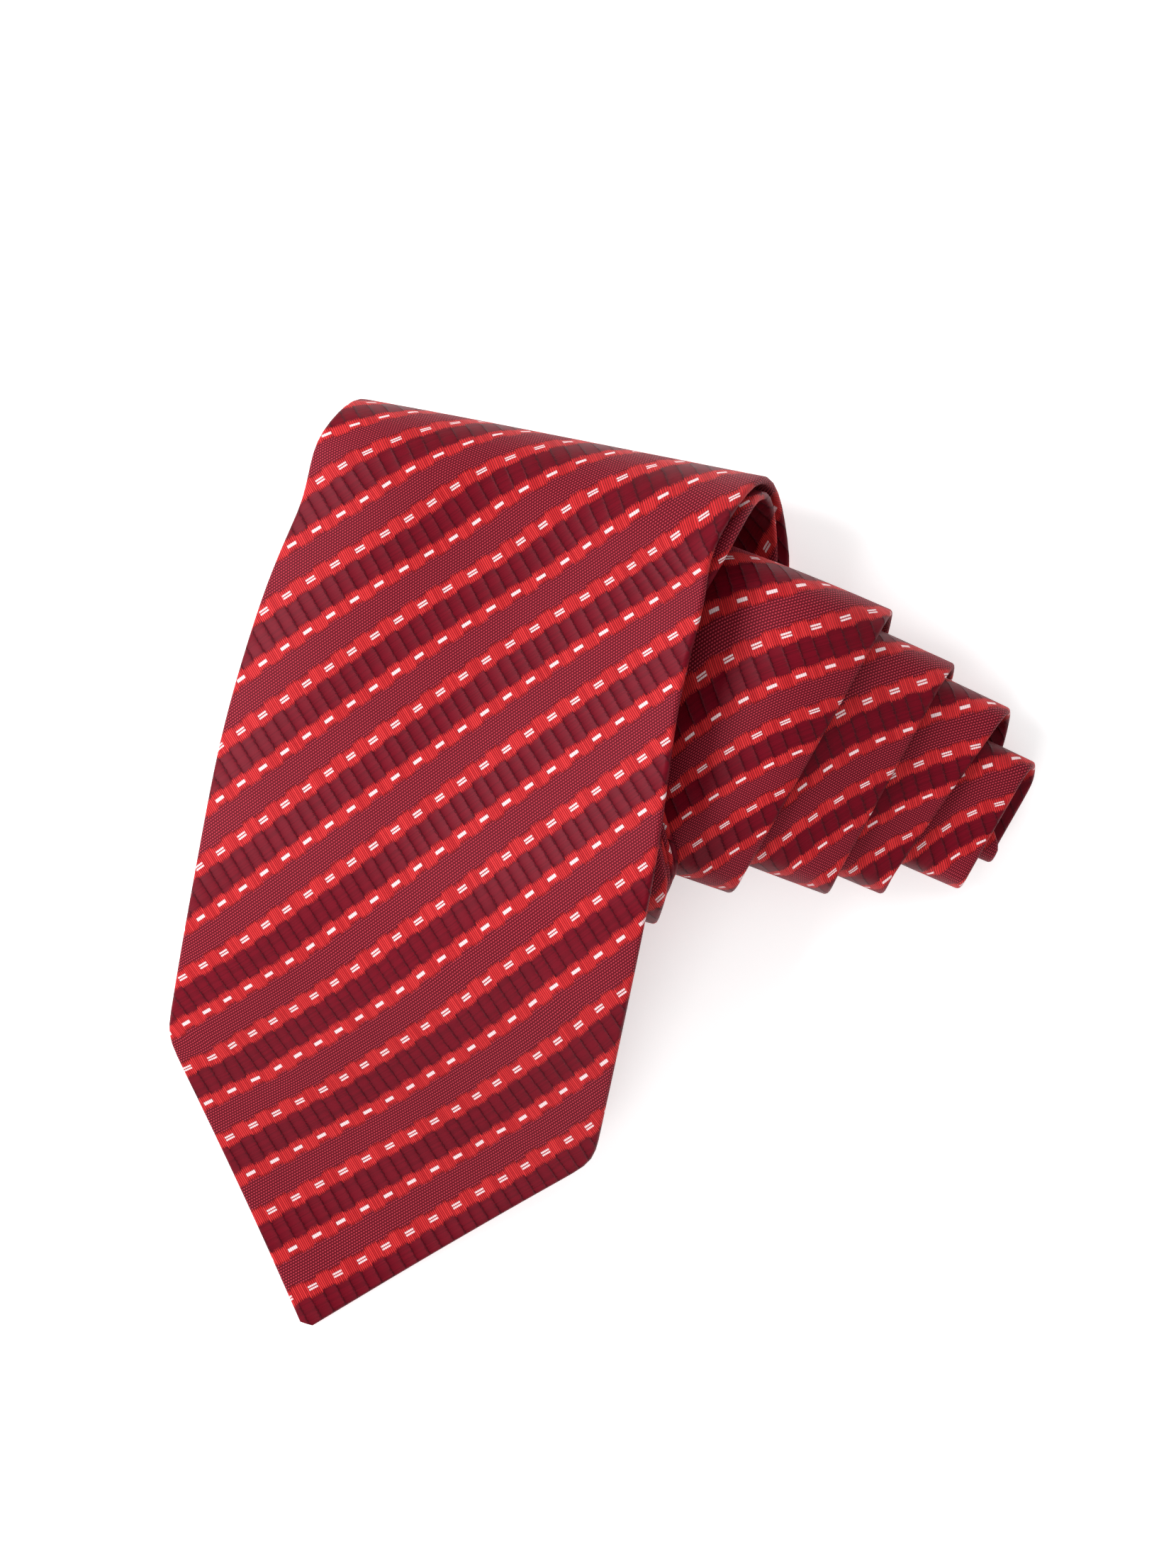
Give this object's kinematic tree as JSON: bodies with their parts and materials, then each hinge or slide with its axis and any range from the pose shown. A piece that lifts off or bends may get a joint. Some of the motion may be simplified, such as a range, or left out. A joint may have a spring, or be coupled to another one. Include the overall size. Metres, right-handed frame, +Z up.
{
  "type": "necktie",
  "caption": "Burgundy striped silk necktie, rolled up from its narrow end into a flat telescoped roll, its wide pointed blade lying over the roll.",
  "frame": {"origin": "middle of the footprint on the table, at the underside of the roll", "axes": "+Y from the pointed tip of the blade over the roll, +X towards the narrow end of the roll, +Z up off the table"},
  "size_m": [0.156, 0.1668, 0.0398],
  "materials": {
    "silk": "burgundy silk jacquard with diagonal satin stripes and broken white lines",
    "interlining": "napped off-white wool blend",
    "tipping": "smooth burgundy lining satin",
    "thread": "twisted silk thread",
    "label": "blank dark woven label",
    "care_label": "blank pale satin label"
  },
  "bodies": {
    "roll": {"blade_shell_rolled": "silk", "neck_shell": "silk", "tail_shell": "silk", "interlining_rolled": "interlining", "tail_tipping": "tipping", "tail_bar_tack": "thread", "slip_stitch_rolled": "thread"},
    "blade": {"blade_shell": "silk", "interlining_blade": "interlining", "blade_bar_tack": "thread", "keeper_loop": "silk", "keeper_tack_left": "thread", "keeper_tack_right": "thread", "maker_label": "label", "care_label": "care_label", "slip_stitch_blade": "thread"},
    "tip": {"blade_tip_shell": "silk", "interlining_tip": "interlining", "blade_tipping": "tipping"}
  },
  "joints": [
    {"name": "blade_lift", "type": "hinge", "parent": "roll", "child": "blade", "pos_m": [-0.01997, 0.04834, 0.02687], "axis": [-0.9395, 0.2569, -0.2265], "range_deg": [0, 75]},
    {"name": "tip_lift", "type": "hinge", "parent": "blade", "child": "tip", "pos_m": [-0.03431, -0.01469, 0.02557], "axis": [-0.9457, 0.2719, -0.1781], "range_deg": [0, 60]}
  ]
}
